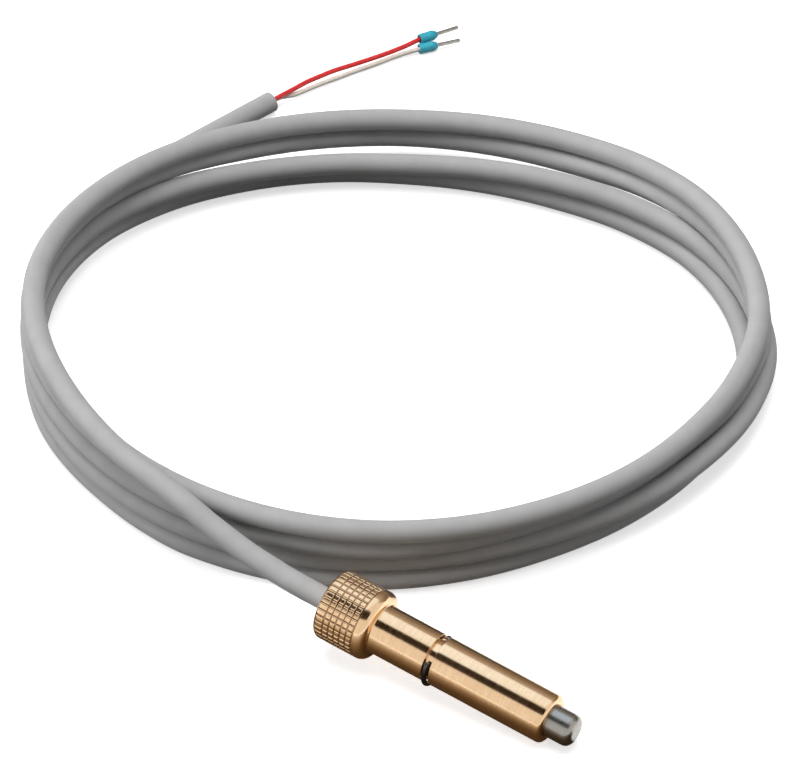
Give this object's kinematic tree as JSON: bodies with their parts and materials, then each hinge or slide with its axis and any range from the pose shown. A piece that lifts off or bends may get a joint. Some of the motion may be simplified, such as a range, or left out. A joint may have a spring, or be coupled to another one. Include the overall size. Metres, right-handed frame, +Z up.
{
  "type": "cable temperature sensor with knurled head",
  "caption": "Direct-immersion resistance temperature sensor: stainless probe in a brass stem with a knurled head and retaining ring, on a coiled cable with ferruled wire ends.",
  "frame": {"origin": "on the surface that the sensor lies on, under the middle of the sensor's own box, cable left out", "axes": "+X from the knurled head towards the probe tip along the surface, +Z up, +Y to the side where the coil lies"},
  "size_m": [0.1636, 0.1781, 0.0162],
  "materials": {
    "brass": "turned and satin, knurled on the head",
    "stainless": "satin, drawn",
    "spring_steel": "black phosphated wire",
    "alumina": "fired, matte",
    "leg_wire": "bright drawn wire",
    "copper": "bare copper",
    "glass_sleeve": "woven glass fibre",
    "red_pvc": "smooth extruded",
    "white_pvc": "smooth extruded",
    "heat_paste": "soft paste",
    "resin": "cast",
    "grey_pvc": "matte extruded jacket",
    "teal_nylon": "moulded",
    "tinned_copper": "dull tinned"
  },
  "bodies": {
    "root": {"brass_stem": "brass", "probe_tube": "stainless", "retaining_ring": "spring_steel", "rtd_chip": "alumina", "chip_leg_a": "leg_wire", "chip_leg_b": "leg_wire", "crimp_a": "copper", "crimp_b": "copper", "joint_sleeve_a": "glass_sleeve", "joint_sleeve_b": "glass_sleeve", "core_red": "red_pvc", "core_white": "white_pvc", "heat_paste": "heat_paste", "potting": "resin", "jacket_end": "grey_pvc", "cable_lead": "grey_pvc", "cable_coil": "grey_pvc", "cable_tail": "grey_pvc", "red_lead": "red_pvc", "white_lead": "white_pvc", "red_collar": "teal_nylon", "white_collar": "teal_nylon", "red_pin": "tinned_copper", "white_pin": "tinned_copper", "red_strands": "copper", "white_strands": "copper"}
  },
  "joints": []
}
